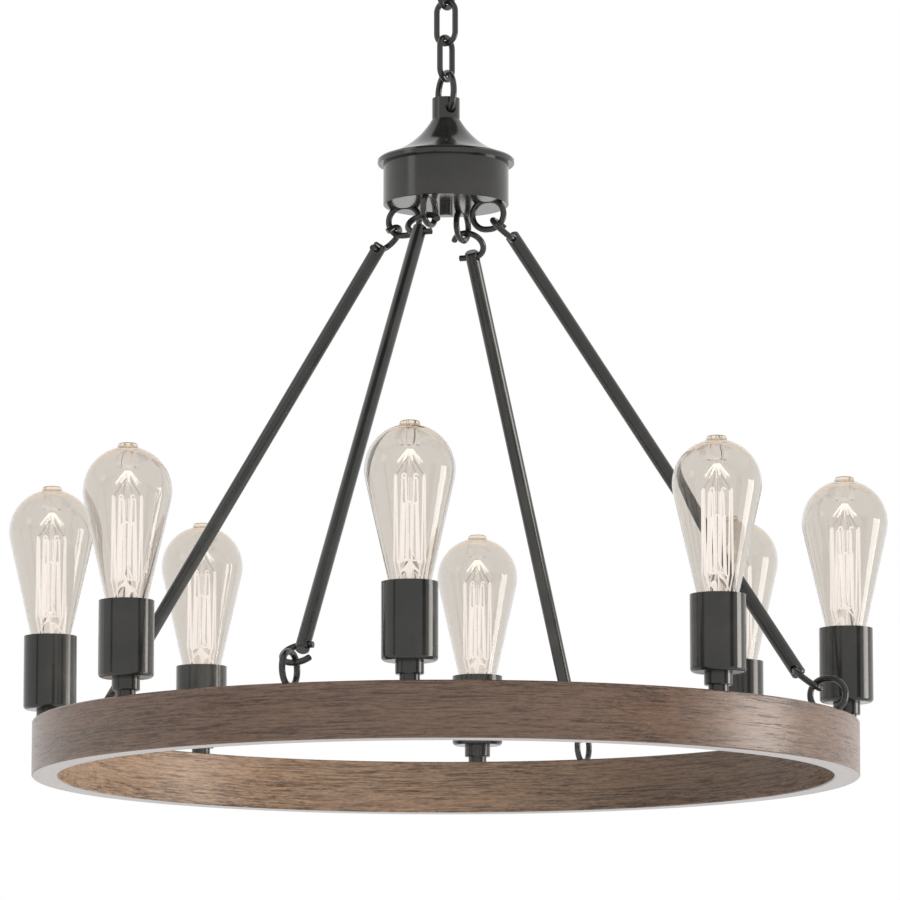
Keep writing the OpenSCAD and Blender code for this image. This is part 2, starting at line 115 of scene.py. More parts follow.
class BulbSettings(bpy.types.PropertyGroup):
    glass: colour("Glass", "Smoky tint of the glass", (0.79, 0.76, 0.722))
    amber: colour("Amber", "Tint that gathers in the thick glass at the top", (0.95, 0.60, 0.30))
    button: colour("Button", "Tint of the seal button", (0.86, 0.74, 0.62))
    wall: length("Wall", "Thickness of the glass", 0.0008)
    slope: FloatProperty(
        name="Slope", description="Half angle of the cone", default=math.radians(12.7), unit="ROTATION"
    )
    glow: colour("Filament", "Colour of the lit filament", (1.0, 0.955, 0.94))
    glow_power: number("Filament strength", "Brightness of the lit filament", 1.02)
    hairpins: IntProperty(name="Hairpins", description="Loops of the outer filament", default=8, min=3)
    cage_r: length("Cage radius", "Radius of the filament's cage", 0.0108)
    cage_low: length("Cage foot", "Foot of the cage above the rim", 0.084)
    cage_high: length("Cage top", "Top of the cage above the rim", 0.1415)
    core_r: length("Core radius", "Radius of the shorter inner filament", 0.0055)
    core_high: length("Core top", "Top of the inner filament above the rim", 0.1228)
    filament_r: length("Filament radius", "Radius of the filament", 0.00066)


class StageSettings(bpy.types.PropertyGroup):
    camera: FloatVectorProperty(
        name="Camera", description="Place of the camera", default=(1.5247, -3.8823, -1.0770), unit="LENGTH"
    )
    turn: FloatProperty(
        name="Turn", description="Camera's turn from +Y", default=math.radians(21.4), unit="ROTATION"
    )
    tilt: FloatProperty(
        name="Tilt", description="Camera's upward tilt", default=math.radians(8.62), unit="ROTATION"
    )
    lens: number("Lens", "Focal length in millimetres", 226.78)
    daylight: number("Daylight", "Level of the room's even light", 0.62)
    key_power: number("Side light", "Power of the tall light on the right", 30.0)
    inner_power: number("Inner light", "Power of the warm light inside the rim", 0.95)
    floor_z: FloatProperty(name="Floor", description="Height of the floor", default=-2.05, unit="LENGTH")


# ---- Node graphs ----


class Graph:
    """Adds and wires the nodes of one material or geometry tree."""

    def __init__(self, tree):
        self.tree = tree
        tree.nodes.clear()

    def add(self, kind, inputs=None, **settings):
        node = self.tree.nodes.new(kind)
        for key, value in settings.items():
            setattr(node, key, value)
        for key, value in (inputs or {}).items():
            self.put(node.inputs[key], value)
        return node

    def put(self, socket, value):
        if isinstance(value, bpy.types.NodeSocket):
            self.tree.links.new(value, socket)
        else:
            socket.default_value = value

    def math(self, operation, *values):
        node = self.add("ShaderNodeMath", operation=operation)
        for socket, value in zip(node.inputs, values):
            self.put(socket, value)
        return node.outputs[0]

    def mix(self, factor, first, second):
        node = self.add("ShaderNodeMix", data_type="RGBA")
        self.put(node.inputs[0], factor)
        self.put(node.inputs[6], first)
        self.put(node.inputs[7], second)
        return node.outputs[2]

    def ramp(self, factor, low, high):
        """0 at low and 1 at high, smooth between; low may be the larger of the two."""
        limits = {"Value": factor, "From Min": low, "From Max": high}
        return self.add("ShaderNodeMapRange", limits, interpolation_type="SMOOTHSTEP").outputs[0]

    def noise(self, vector, scale, detail=3.0, roughness=0.55):
        sizes = {"Vector": vector, "Scale": scale, "Detail": detail, "Roughness": roughness}
        return self.add("ShaderNodeTexNoise", sizes).outputs[0]

    def bump(self, height, depth, strength=1.0):
        node = self.add("ShaderNodeBump", {"Height": height, "Distance": depth, "Strength": strength})
        return node.outputs[0]


def rgba(value):
    return (*value, 1.0)


def new_material(name):
    material = bpy.data.materials.new(name)
    material.use_nodes = True
    graph = Graph(material.node_tree)
    output = graph.add("ShaderNodeOutputMaterial")
    shader = graph.add("ShaderNodeBsdfPrincipled")
    graph.put(output.inputs[0], shader.outputs[0])
    place = graph.add("ShaderNodeTexCoord").outputs["Object"]
    return material, graph, shader, place


def bronze_paint(metal):
    """Dark bronze paint: faint clouds, a fine spray grain and a satin gloss."""
    material, graph, shader, place = new_material("bronze_paint")
    cloud = graph.noise(place, 1 / metal.cloud, 4.0)
    grain = graph.noise(place, 1 / metal.grain, 2.0)
    thin = graph.ramp(cloud, 0.42, 0.72)
    graph.put(shader.inputs["Base Color"], graph.mix(thin, rgba(metal.bronze), rgba(metal.bronze_rubbed)))
    patchy = graph.math("MULTIPLY_ADD", cloud, 0.10, metal.gloss - 0.05)
    graph.put(shader.inputs["Roughness"], patchy)
    graph.put(shader.inputs["Normal"], graph.bump(grain, metal.grain_depth))
    shader.inputs["IOR"].default_value = 1.52
    return material


def wood_place(graph, place, stretch):
    """Object place in which the wood's figure runs round the rim: the third axis is height and radius."""
    split = graph.add("ShaderNodeSeparateXYZ", {"Vector": place})
    x, y, z = split.outputs
    across = graph.math("ADD", z, wood_radius(graph, place))
    joined = graph.add(
        "ShaderNodeCombineXYZ",
        {0: graph.math("DIVIDE", x, stretch), 1: graph.math("DIVIDE", y, stretch), 2: across},
    )
    return joined.outputs[0], across


def wood_radius(graph, place):
    x, y, _ = graph.add("ShaderNodeSeparateXYZ", {"Vector": place}).outputs
    return graph.math("SQRT", graph.math("ADD", graph.math("MULTIPLY", x, x), graph.math("MULTIPLY", y, y)))


def walnut(wood):
    """Satin walnut: growth bands with swirls, long dark pores and fine pale fibres round the rim."""
    material, graph, shader, place = new_material("walnut")
    along, across = wood_place(graph, place, wood.stretch)
    tone = graph.noise(along, 0.30 / wood.band, 4.0, 0.55)
    swirl = graph.noise(along, 1.1 / wood.band, 2.0, 0.5)
    wave = graph.math("MULTIPLY_ADD", swirl, 2.6, graph.math("DIVIDE", across, wood.band))
    rings = graph.math("ABSOLUTE", graph.math("SINE", graph.math("MULTIPLY", wave, math.tau)))
    line_place, _ = wood_place(graph, place, 26.0)
    lines = graph.noise(line_place, 560.0, 5.0, 0.72)
    fibre_place, _ = wood_place(graph, place, 16.0)
    fibre = graph.noise(fibre_place, 900.0, 5.0, 0.75)
    dust_place, _ = wood_place(graph, place, 5.0)
    dust = graph.noise(dust_place, 900.0, 2.0, 0.7)
    base = graph.mix(graph.ramp(tone, 0.38, 0.60), rgba(wood.dark), rgba(wood.heart))
    base = graph.mix(graph.math("MULTIPLY", graph.ramp(rings, 0.1, 1.0), 0.42), base, rgba(wood.light))
    base = graph.mix(graph.math("MULTIPLY", graph.ramp(fibre, 0.43, 0.62), 0.52), base, rgba(wood.light))
    base = graph.mix(graph.math("MULTIPLY", graph.ramp(dust, 0.46, 0.62), 0.26), base, rgba(wood.light))
    pores = graph.ramp(lines, 0.55, 0.62)
    base = graph.mix(graph.math("MULTIPLY", pores, 0.56), base, rgba(wood.pore))
    specks = graph.ramp(dust, 0.45, 0.36)
    base = graph.mix(graph.math("MULTIPLY", specks, 0.28), base, rgba(wood.pore))
    # Painted light: the inner face gets its own tint in place of the different light that falls on it.
    inside = graph.ramp(wood_radius(graph, place), RIM_MID, RIM_MID - 0.002)
    painted_inner_light = graph.add("ShaderNodeMix", data_type="RGBA", blend_type="MULTIPLY")
    graph.put(painted_inner_light.inputs[0], inside)
    graph.put(painted_inner_light.inputs[6], base)
    graph.put(painted_inner_light.inputs[7], rgba(wood.inner))
    graph.put(shader.inputs["Base Color"], painted_inner_light.outputs[2])
    facing = graph.add("ShaderNodeSeparateXYZ", {"Vector": graph.add("ShaderNodeTexCoord").outputs["Normal"]})
    planed = graph.ramp(facing.outputs[2], -0.6, -0.9)
    satin = graph.math("MULTIPLY_ADD", fibre, 0.16, wood.gloss - 0.08)
    level = graph.add("ShaderNodeMix", {0: planed, 2: satin, 3: wood.planed})
    graph.put(shader.inputs["Roughness"], level.outputs[0])
    relief = graph.math("SUBTRACT", graph.math("ADD", fibre, dust), graph.math("MULTIPLY", pores, 0.8))
    even = graph.math("MULTIPLY_ADD", planed, -0.55, 0.60)
    graph.put(shader.inputs["Normal"], graph.bump(relief, 0.00012, even))
    shader.inputs["IOR"].default_value = 1.5
    return material


def smoky_glass(bulb):
    """Thin smoky glass whose thick top and edges gather an amber tint."""
    material, graph, shader, place = new_material("smoky_glass")
    height = graph.add("ShaderNodeSeparateXYZ", {"Vector": place}).outputs[2]
    button = graph.ramp(height, RIM_TOP + 0.1765, RIM_TOP + 0.1785)
    dome = graph.math("MULTIPLY", graph.ramp(height, RIM_TOP + 0.152, RIM_TOP + 0.178), 0.6)
    edge = graph.add("ShaderNodeLayerWeight", {"Blend": 0.5}).outputs["Facing"]
    gathered = graph.math("MULTIPLY", graph.math("MAXIMUM", button, dome), graph.ramp(edge, 0.35, 0.90))
    plain = graph.mix(button, rgba(bulb.glass), rgba(bulb.button))
    graph.put(shader.inputs["Base Color"], graph.mix(gathered, plain, rgba(bulb.amber)))
    shader.inputs["Transmission Weight"].default_value = 1.0
    shader.inputs["Roughness"].default_value = 0.0
    shader.inputs["IOR"].default_value = 1.45
    return material


def glass_with_painted_glow(name, glow):
    """Clear glass of the inner parts, with a faint painted glow in place of the filament's light."""
    material, graph, shader, place = new_material(name)
    cloud = graph.noise(place, 60.0, 2.0)
    tint = graph.mix(cloud, (0.93, 0.92, 0.90, 1), (0.98, 0.97, 0.96, 1))
    graph.put(shader.inputs["Base Color"], tint)
    shader.inputs["Transmission Weight"].default_value = 1.0
    shader.inputs["Roughness"].default_value = 0.02
    shader.inputs["IOR"].default_value = 1.45
    # Painted glow: an emission in place of the filament's light caught in the glass.
    shader.inputs["Emission Color"].default_value = (1.0, 0.93, 0.87, 1)
    shader.inputs["Emission Strength"].default_value = glow
    return material


def glowing_wire(bulb):
    """Lit filament: an even glow, a little weaker towards its foot."""
    material, graph, shader, place = new_material("glowing_wire")
    height = graph.add("ShaderNodeSeparateXYZ", {"Vector": place}).outputs[2]
    lift = graph.ramp(height, RIM_TOP + 0.060, RIM_TOP + 0.100)
    graph.put(shader.inputs["Emission Color"], graph.mix(lift, (0.95, 0.87, 0.82, 1), rgba(bulb.glow)))
    shader.inputs["Base Color"].default_value = (0.22, 0.20, 0.18, 1)
    shader.inputs["Roughness"].default_value = 0.5
    shader.inputs["Emission Strength"].default_value = bulb.glow_power
    return material


def plated(name, colour_low, colour_high, roughness, metallic=1.0):
    """A plain technical finish with faint clouds and a fine grain."""
    material, graph, shader, place = new_material(name)
    mottle = graph.noise(place, 120.0, 4.0)
    graph.put(shader.inputs["Base Color"], graph.mix(mottle, rgba(colour_low), rgba(colour_high)))
    graph.put(shader.inputs["Roughness"], graph.math("MULTIPLY_ADD", mottle, 0.14, roughness - 0.07))
    graph.put(shader.inputs["Normal"], graph.bump(graph.noise(place, 2400.0, 2.0), 0.00002, 0.3))
    shader.inputs["Metallic"].default_value = metallic
    return material


# ---- Meshes ----


def lathe(name, outline, centre, steps=96, crease=32.0):
    """A turned piece: outline is a closed list of (radius, height), turned about an upright axis."""
    verts, faces, rings = [], [], []
    for radius, height in outline:
        if radius < 1e-7:
            rings.append([len(verts)])
            verts.append((centre[0], centre[1], height))
            continue
        rings.append(list(range(len(verts), len(verts) + steps)))
        for step in range(steps):
            angle = math.tau * step / steps
            verts.append(
                (centre[0] + radius * math.cos(angle), centre[1] + radius * math.sin(angle), height)
            )
    for low, high in zip(rings, rings[1:] + rings[:1]):
        if len(low) == 1 and len(high) == 1:
            continue
        for step in range(steps):
            nxt = (step + 1) % steps
            corners = [low[step % len(low)], low[nxt % len(low)]]
            corners += [high[nxt % len(high)], high[step % len(high)]]
            faces.append(list(dict.fromkeys(corners)))
    mesh = bpy.data.meshes.new(name)
    mesh.from_pydata(verts, [], faces)
    mesh.validate()
    mesh.shade_smooth()
    mesh.set_sharp_from_angle(angle=math.radians(crease))
    return add_object(name, mesh)


def add_object(name, mesh):
    made = bpy.data.objects.new(name, mesh)
    bpy.context.scene.collection.objects.link(made)
    return made


def arc(cx, cz, radius, start, end, count):
    """Points on an arc in (radius, height), from the angle start to end, in degrees."""
    return [
        (
            cx + radius * math.cos(math.radians(start + (end - start) * i / count)),
            cz + radius * math.sin(math.radians(start + (end - start) * i / count)),
        )
        for i in range(count + 1)
    ]


def finish_piece(piece, material, body):
    if material is not None:
        piece.data.materials.clear()
        piece.data.materials.append(material)
    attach(piece, body)


def lamp_axis(number_of):
    low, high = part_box(f"bulb_base_{number_of}")
    return (low.x + high.x) / 2, (low.y + high.y) / 2


# ---- Geometry trees ----


def geometry_tree(name, sizes):
    """A new geometry tree with the named number inputs, and its graph and input node."""
    tree = bpy.data.node_groups.new(name, "GeometryNodeTree")
    graph = Graph(tree)
    tree.interface.new_socket("Geometry", in_out="INPUT", socket_type="NodeSocketGeometry")
    for label, default in sizes.items():
        socket = tree.interface.new_socket(label, in_out="INPUT", socket_type="NodeSocketFloat")
        socket.default_value = default
    tree.interface.new_socket("Geometry", in_out="OUTPUT", socket_type="NodeSocketGeometry")
    return tree, graph, graph.add("NodeGroupInput").outputs


def close_tree(graph, geometry, material):
    real = graph.add("GeometryNodeRealizeInstances", {"Geometry": geometry})
    painted = graph.add("GeometryNodeSetMaterial", {"Geometry": real.outputs[0], "Material": material})
    graph.add("NodeGroupOutput", {"Geometry": painted.outputs[0]})


def grow(name, tree, values, place):
    """A plain mesh object from a geometry tree, with its place in its mesh."""
    made = add_object(name, bpy.data.meshes.new(name))
    modifier = made.modifiers.new("shape", "NODES")
    modifier.node_group = tree
    for item in tree.interface.items_tree:
        if item.item_type == "SOCKET" and item.in_out == "INPUT" and item.name in values:
            modifier[item.identifier] = float(values[item.name])
    evaluated = made.evaluated_get(bpy.context.evaluated_depsgraph_get())
    mesh = bpy.data.meshes.new_from_object(evaluated)
    made.modifiers.remove(modifier)
    mesh.transform(Matrix.Translation(place))
    mesh.name = name
    made.data = mesh
    mesh.shade_smooth()
    mesh.set_sharp_from_angle(angle=math.radians(40))
    return made


def cage_tree(material):
    """A filament that zigzags round a cage: tight hairpins at the top and at the bottom."""
    tree, graph, ins = geometry_tree(
        "filament_cage",
        {"Hairpins": 8.0, "Cage Radius": 0.012, "Low": 0.09, "High": 0.14, "Bend": 0.0013, "Wire": 0.0006},
    )
    arc_points = 7
    unit = arc_points + 1
    strands = graph.math("MULTIPLY", ins["Hairpins"], 2.0)
    count = graph.math("MULTIPLY", graph.math("SUBTRACT", strands, 1.0), float(unit))
    line = graph.add("GeometryNodeCurvePrimitiveLine")
    cut = graph.add("GeometryNodeResampleCurve", {"Curve": line.outputs[0], "Count": count})
    index = graph.add("GeometryNodeInputIndex").outputs[0]
    turn = graph.math("FLOOR", graph.math("DIVIDE", index, float(unit)))
    step = graph.math("SUBTRACT", index, graph.math("MULTIPLY", turn, float(unit)))
    upper = graph.math("SUBTRACT", 1.0, graph.math("MODULO", turn, 2.0))
    side = graph.math("MULTIPLY_ADD", upper, 2.0, -1.0)
    swing = graph.math("MULTIPLY", graph.math("DIVIDE", step, float(arc_points)), math.pi)
    half_turn = graph.math("DIVIDE", math.pi, ins["Hairpins"])
    bend_angle = graph.math("DIVIDE", ins["Bend"], ins["Cage Radius"])
    angle = graph.math(
        "SUBTRACT",
        graph.math("MULTIPLY", turn, half_turn),
        graph.math("MULTIPLY", graph.math("COSINE", swing), bend_angle),
    )
    arch = graph.math("MULTIPLY", graph.math("MULTIPLY", graph.math("SINE", swing), ins["Bend"]), side)
    tall = graph.math("SUBTRACT", ins["High"], ins["Low"])
    level = graph.math("ADD", ins["Low"], graph.math("MULTIPLY", upper, tall))
    spot = graph.add(
        "ShaderNodeCombineXYZ",
        {
            0: graph.math("MULTIPLY", graph.math("COSINE", angle), ins["Cage Radius"]),
            1: graph.math("MULTIPLY", graph.math("SINE", angle), ins["Cage Radius"]),
            2: graph.math("ADD", level, arch),
        },
    )
    bent = graph.add("GeometryNodeSetPosition", {"Geometry": cut.outputs[0], "Position": spot.outputs[0]})
    ring = graph.add("GeometryNodeCurvePrimitiveCircle", {"Resolution": 8, "Radius": ins["Wire"]})
    tube = graph.add(
        "GeometryNodeCurveToMesh",
        {"Curve": bent.outputs[0], "Profile Curve": ring.outputs[0], "Fill Caps": True},
    )
    close_tree(graph, tube.outputs[0], material)
    return tree


def spokes_tree(material):
    """Wires that fan out from a ring near the axis to a wider ring at another height."""
    tree, graph, ins = geometry_tree(
        "support_wires",
        {"Count": 8.0, "Inner": 0.002, "Outer": 0.012, "From": 0.15, "To": 0.14, "Turn": 0.0, "Wire": 0.0002},
    )
    start = graph.add("ShaderNodeCombineXYZ", {0: ins["Inner"], 2: ins["From"]})
    end = graph.add("ShaderNodeCombineXYZ", {0: ins["Outer"], 2: ins["To"]})
    line = graph.add("GeometryNodeCurvePrimitiveLine", {"Start": start.outputs[0], "End": end.outputs[0]})
    ring = graph.add("GeometryNodeCurvePrimitiveCircle", {"Resolution": 6, "Radius": ins["Wire"]})
    wire = graph.add(
        "GeometryNodeCurveToMesh",
        {"Curve": line.outputs[0], "Profile Curve": ring.outputs[0], "Fill Caps": True},
    )
    spots = graph.add("GeometryNodePoints", {"Count": ins["Count"]})
    index = graph.add("GeometryNodeInputIndex").outputs[0]
    turn = graph.math("MULTIPLY_ADD", index, graph.math("DIVIDE", math.tau, ins["Count"]), ins["Turn"])
    spin = graph.add("ShaderNodeCombineXYZ", {2: turn})
    placed = graph.add(
        "GeometryNodeInstanceOnPoints",
        {"Points": spots.outputs[0], "Instance": wire.outputs[0], "Rotation": spin.outputs[0]},
    )
    close_tree(graph, placed.outputs[0], material)
    return tree


def thread_tree(material):
    """A rolled screw shell: an upright tube whose wall follows a round thread."""
    tree, graph, ins = geometry_tree(
        "rolled_thread",
        {"Radius": 0.0128, "Depth": 0.0006, "Pitch": 0.00363, "Low": 0.04, "High": 0.058, "Columns": 72.0},
    )
    tall = graph.math("SUBTRACT", ins["High"], ins["Low"])
    columns = graph.math("ADD", ins["Columns"], 1.0)
    grid = graph.add(
        "GeometryNodeMeshGrid",
        {"Size X": 1.0, "Size Y": tall, "Vertices X": columns, "Vertices Y": 50},
    )
    spot = graph.add("GeometryNodeInputPosition").outputs[0]
    split = graph.add("ShaderNodeSeparateXYZ", {"Vector": spot})
    angle = graph.math("MULTIPLY", split.outputs[0], math.tau)
    climb = graph.math("DIVIDE", split.outputs[1], ins["Pitch"])
    ripple = graph.math("SINE", graph.math("SUBTRACT", graph.math("MULTIPLY", climb, math.tau), angle))
    share = graph.math("DIVIDE", split.outputs[1], graph.math("MULTIPLY", tall, 0.5))
    fade = graph.math("SUBTRACT", 1.0, graph.math("POWER", graph.math("ABSOLUTE", share), 6.0))
    radius = graph.math("MULTIPLY_ADD", graph.math("MULTIPLY", ripple, fade), ins["Depth"], ins["Radius"])
    middle = graph.math("MULTIPLY", graph.math("ADD", ins["Low"], ins["High"]), 0.5)
    placed = graph.add(
        "ShaderNodeCombineXYZ",
        {
            0: graph.math("MULTIPLY", graph.math("COSINE", angle), radius),
            1: graph.math("MULTIPLY", graph.math("SINE", angle), radius),
            2: graph.math("ADD", middle, split.outputs[1]),
        },
    )
    moved = graph.add("GeometryNodeSetPosition", {"Geometry": grid.outputs[0], "Position": placed.outputs[0]})
    sewn = graph.add("GeometryNodeMergeByDistance", {"Geometry": moved.outputs[0], "Distance": 1e-6})
    close_tree(graph, sewn.outputs[0], material)
    return tree


# ---- Operators ----


class CHANDELIER_OT_metal(bpy.types.Operator):
    """Paint the bronze fittings"""

    bl_idname = "chandelier.metal"
    bl_label = "Bronze fittings"

    def execute(self, context):
        paint = bronze_paint(context.scene.chandelier_metal)
        for name, node in frame["nodes"].items():
            if node_slot(name) == "aged_metal":
                paint_node(node, paint)
        return {"FINISHED"}


class CHANDELIER_OT_hardware(bpy.types.Operator):
    """Finish the plated, brass and porcelain hardware"""

    bl_idname = "chandelier.hardware"
    bl_label = "Hardware"

    def execute(self, context):
        finishes = {
            "zinc_steel": plated("zinc_plate", (0.40, 0.41, 0.42), (0.55, 0.56, 0.56), 0.34),
            "brass": plated("brass_shell", (0.62, 0.47, 0.21), (0.74, 0.58, 0.28), 0.28),
            "porcelain": plated("porcelain_glaze", (0.76, 0.74, 0.69), (0.84, 0.82, 0.77), 0.22, 0.0),
            "ground_screw": plated("green_screw", (0.05, 0.20, 0.07), (0.09, 0.27, 0.11), 0.36, 0.4),
        }
        for name, node in frame["nodes"].items():
            if node_slot(name) in finishes:
                paint_node(node, finishes[node_slot(name)])
        return {"FINISHED"}


class CHANDELIER_OT_rim(bpy.types.Operator):
    """Finish the wooden rim"""

    bl_idname = "chandelier.rim"
    bl_label = "Wooden rim"

    def execute(self, context):
        wood = walnut(context.scene.chandelier_wood)
        for name, node in frame["nodes"].items():
            if node_slot(name) == "wood":
                paint_node(node, wood)
        return {"FINISHED"}


class CHANDELIER_OT_bulbs(bpy.types.Operator):
    """Make the glass, mount and filament of every bulb"""

    bl_idname = "chandelier.bulbs"
    bl_label = "Filament bulbs"

    def execute(self, context):
        bulb = context.scene.chandelier_bulb
        glass = smoky_glass(bulb)
        mount_glass = glass_with_painted_glow("mount_glass", 0.06)
        fan_glass = glass_with_painted_glow("fan_glass", 0.20)
        glow = glowing_wire(bulb)
        wires = plated("support_wire", (0.62, 0.58, 0.54), (0.72, 0.69, 0.65), 0.3)
        cage = cage_tree(glow)
        spokes = spokes_tree(wires)
        leads = spokes_tree(glow)
        blades = spokes_tree(fan_glass)
        for number_of in LAMPS:
            make_glass(bulb, number_of, glass)
            make_mount(number_of, mount_glass)
            make_filament(bulb, number_of, cage, (spokes, leads, blades))
        return {"FINISHED"}


class CHANDELIER_OT_bases(bpy.types.Operator):
    """Make the screw base of every bulb"""

    bl_idname = "chandelier.bases"
    bl_label = "Screw bases"

    def execute(self, context):
        shell = plated("nickel_shell", (0.62, 0.58, 0.50), (0.74, 0.71, 0.64), 0.24)
        black = plated("black_glass", (0.012, 0.012, 0.014), (0.02, 0.02, 0.022), 0.15, 0.0)
        solder = plated("solder_tip", (0.50, 0.50, 0.49), (0.62, 0.62, 0.61), 0.38)
        tree = thread_tree(shell)
        for number_of in LAMPS:
            make_base(number_of, tree, shell, black, solder)
        return {"FINISHED"}


class CHANDELIER_OT_stage(bpy.types.Operator):
    """Set up the floor, lights and camera"""

    bl_idname = "chandelier.stage"
    bl_label = "Stage"

    def execute(self, context):
        stage = context.scene.chandelier_stage
        make_world(context.scene, stage)
        make_floor(stage)
        make_lights(stage)
        make_card("dark_ceiling", square_corners(CEILING_CARD_HALF, CEILING_CARD_Z))
        for name, start, stop in (("right_flag", 47.0, 62.0), ("left_flag", -62.0, -56.0)):
            sides = ((start, FLAG_LOW), (stop, FLAG_LOW), (stop, FLAG_HIGH), (start, FLAG_HIGH))
            make_card(name, [towards(stage, side, FLAG_DISTANCE, z) for side, z in sides])
        make_camera(context.scene, stage)
        context.scene.view_settings.view_transform = "Standard"
        return {"FINISHED"}


# ---- What the operators make ----


def node_slot(name):
    slots = {row["node"]: row["material_slot"] for row in frame["record"]["subparts"]}
    return slots[name]


def paint_node(node, material):
    if not node.material_slots:
        node.data.materials.append(material)
    for slot in node.material_slots:
        slot.material = material


def make_glass(bulb, number_of, material):
    """Ball top, straight cone and a seal button, with a thin wall."""
    low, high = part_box(f"bulb_glass_{number_of}")
    radius = (high.x - low.x) / 2
    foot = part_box(f"bulb_base_{number_of}")[1].z
    slope = bulb.slope
    button_top = high.z

    def wall(inset):
        ball = radius - inset
        touch_r = ball * math.cos(slope)
        touch_z = BULB_WIDEST - ball * math.sin(slope)
        foot_r = touch_r - (touch_z - foot) * math.tan(slope)
        return ball, touch_r, touch_z, foot_r

    ball, touch_r, touch_z, foot_r = wall(0.0)
    meet = math.degrees(math.acos(BUTTON_R * 1.18 / ball))
    outline = [(foot_r, foot)]
    outline += [
        (foot_r + (touch_r - foot_r) * i / 12, foot + (touch_z - foot) * i / 12) for i in range(1, 12)
    ]
    outline += arc(0, BULB_WIDEST, ball, -math.degrees(slope), meet, 30)
    neck_z = BULB_WIDEST + ball * math.sin(math.radians(meet))
    outline += arc(BUTTON_R * 1.18, neck_z + 0.0014, 0.0013, 255, 200, 3)
    edge = 0.0021
    outline += arc(BUTTON_R - edge, button_top - edge, edge, 0, 90, 6)
    outline += [(0, button_top)]
    ball, touch_r, touch_z, foot_r = wall(bulb.wall)
    inner = arc(0, BULB_WIDEST, ball, 90, -math.degrees(slope), 36)
    inner[0] = (0.0, BULB_WIDEST + ball)
    outline += inner
    outline += [
        (touch_r + (foot_r - touch_r) * i / 12, touch_z + (foot - touch_z) * i / 12) for i in range(1, 13)
    ]
    shell = lathe(f"bulb_shell_{number_of}", outline, lamp_axis(number_of))
    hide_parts(f"bulb_glass_{number_of}")
    finish_piece(shell, material, f"bulb_{number_of}")


def make_mount(number_of, material):
    """Flared glass stem that carries the filament, and the sealed tube that hangs from the button."""
    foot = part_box(f"bulb_base_{number_of}")[1].z + 0.0002
    outline = [(0, foot), (0.0095, foot), (0.0092, foot + 0.005), (0.0084, foot + 0.010)]
    outline += [(0.0070, foot + 0.016), (0.0052, foot + 0.021), (0.0034, foot + 0.027)]
    outline += [(0.0018, foot + 0.034), (0.0014, foot + 0.095)]
    outline += arc(0, foot + 0.0985, 0.0026, -55, 90, 8)
    outline[-1] = (0, outline[-1][1])
    mount = lathe(f"bulb_mount_{number_of}", outline, lamp_axis(number_of), 32)
    finish_piece(mount, material, f"bulb_{number_of}")
    tube = [(0, BUTTON_FOOT - 0.0125), (0.0072, BUTTON_FOOT - 0.0115), (0.0080, BUTTON_FOOT - 0.006)]
    tube += [(0.0066, BUTTON_FOOT - 0.0006), (0, BUTTON_FOOT - 0.0006)]
    tail = lathe(f"bulb_tail_{number_of}", tube, lamp_axis(number_of), 32)
    finish_piece(tail, material, f"bulb_{number_of}")


def make_filament(bulb, number_of, cage, spokes):
    """Outer and inner filament, their lead wires, the holding wires and the glass fan over them."""
    axis = lamp_axis(number_of)
    place = Vector((axis[0], axis[1], RIM_TOP))
    wires, leads, blades = spokes
    step = math.pi / bulb.hairpins
    outer = {
        "Hairpins": bulb.hairpins,
        "Cage Radius": bulb.cage_r,
        "Low": bulb.cage_low,
        "High": bulb.cage_high,
        "Wire": bulb.filament_r,
    }
    inner = dict(outer, Hairpins=5, High=bulb.core_high)
    inner["Cage Radius"] = bulb.core_r
    upper = {
        "Count": bulb.hairpins,
        "Inner": 0.0015,
        "Outer": bulb.cage_r,
        "From": 0.1560,
        "To": bulb.cage_high + 0.001,
        "Turn": 0.0,
        "Wire": 0.00018,
    }
    lower = {
        "Count": bulb.hairpins,
        "Inner": 0.0075,
        "Outer": bulb.cage_r,
        "From": 0.0665,
        "To": bulb.cage_low - 0.001,
        "Turn": step,
        "Wire": 0.00050,
    }
    fan = {
        "Count": 9,
        "Inner": 0.0016,
        "Outer": 0.0088,
        "From": 0.1610,
        "To": 0.1522,
        "Turn": step,
        "Wire": 0.00075,
    }
    parts = (
        ("filament", cage, outer),
        ("inner_filament", cage, inner),
        ("upper_wires", wires, upper),
        ("lead_wires", leads, lower),
        ("glass_fan", blades, fan),
    )
    for name, tree, sizes in parts:
        made = grow(f"{name}_{number_of}", tree, sizes, place)
        finish_piece(made, None, f"bulb_{number_of}")


def make_base(number_of, tree, shell, black, solder):
    """Rolled screw shell with a plain skirt, a black insulator and a soldered tip."""
    low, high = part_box(f"bulb_base_{number_of}")
    radius = (high.x - low.x) / 2
    axis = lamp_axis(number_of)
    body = f"bulb_{number_of}"
    skirt = high.z - 0.0065
    thread_low = low.z + 0.0065
    thread = grow(
        f"base_thread_{number_of}",
        tree,
        {"Radius": radius - 0.0007, "Low": thread_low, "High": skirt},
        Vector((axis[0], axis[1], 0)),
    )
    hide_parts(f"bulb_base_{number_of}")
    finish_piece(thread, None, body)
    outline = [(0, skirt), (radius - 0.0007, skirt), (radius, skirt + 0.0009), (radius, high.z - 0.0004)]
    outline += [(radius - 0.0004, high.z), (0, high.z)]
    collar = lathe(f"base_skirt_{number_of}", outline, axis, 72)
    finish_piece(collar, shell, body)
    outline = [(0, low.z + 0.0012), (0.0046, low.z + 0.0012), (radius - 0.0022, low.z + 0.0052)]
    outline += [(radius - 0.0007, thread_low), (0, thread_low)]
    finish_piece(lathe(f"base_insulator_{number_of}", outline, axis, 48), black, body)
    tip = [(0, low.z)] + arc(0.0030, low.z + 0.0009, 0.0009, -90, 0, 4) + [(0.0042, low.z + 0.0013)]
    tip += [(0, low.z + 0.0013)]
    finish_piece(lathe(f"base_contact_{number_of}", tip, axis, 32), solder, body)


